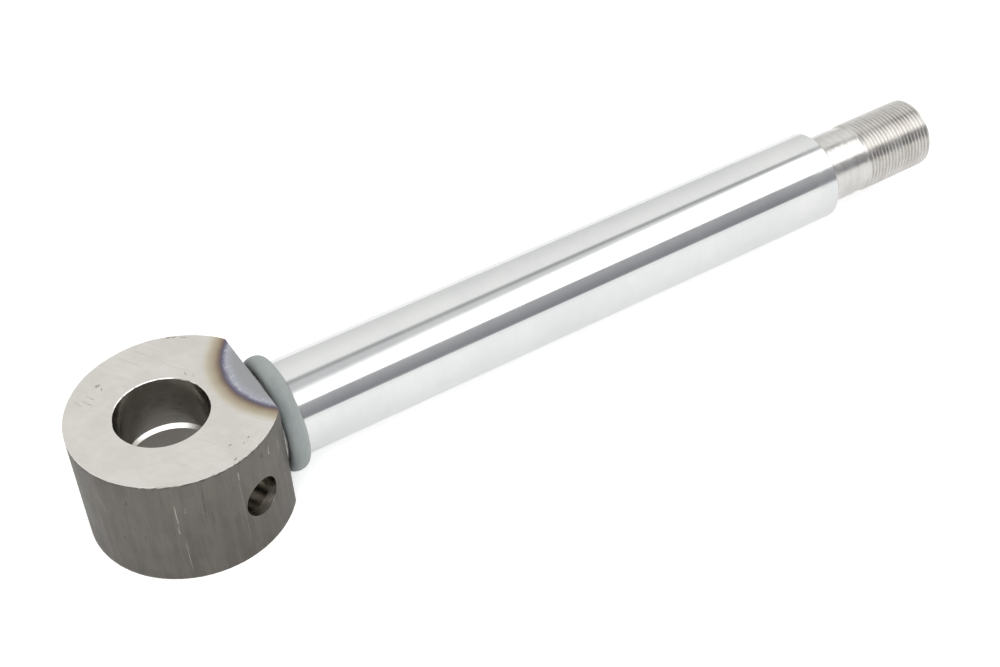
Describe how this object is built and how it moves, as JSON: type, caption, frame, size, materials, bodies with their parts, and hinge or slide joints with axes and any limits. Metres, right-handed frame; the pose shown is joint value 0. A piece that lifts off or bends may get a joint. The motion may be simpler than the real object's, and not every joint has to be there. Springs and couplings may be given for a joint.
{
  "type": "stepped piston rod with welded eye",
  "caption": "Hard-chromed stepped shaft: a piston rod with a bored round eye friction-welded to one end and a shouldered, threaded end for a piston.",
  "frame": {"origin": "centre of the eye's pin bore at mid height", "axes": "+Z along the pin bore, +X along the rod from the eye towards the threaded end"},
  "size_m": [0.3897, 0.078, 0.0486],
  "materials": {
    "eye_steel": "milled end faces, dark mill scale round the side, blue and straw heat tint beside the weld",
    "rod_chrome": "ground and polished hard chrome, bare turned steel past the shoulder",
    "flash_steel": "smooth matt blue-grey oxide"
  },
  "bodies": {
    "root": {"rod_eye": "eye_steel", "piston_rod": "rod_chrome", "weld_flash": "flash_steel"}
  },
  "joints": []
}
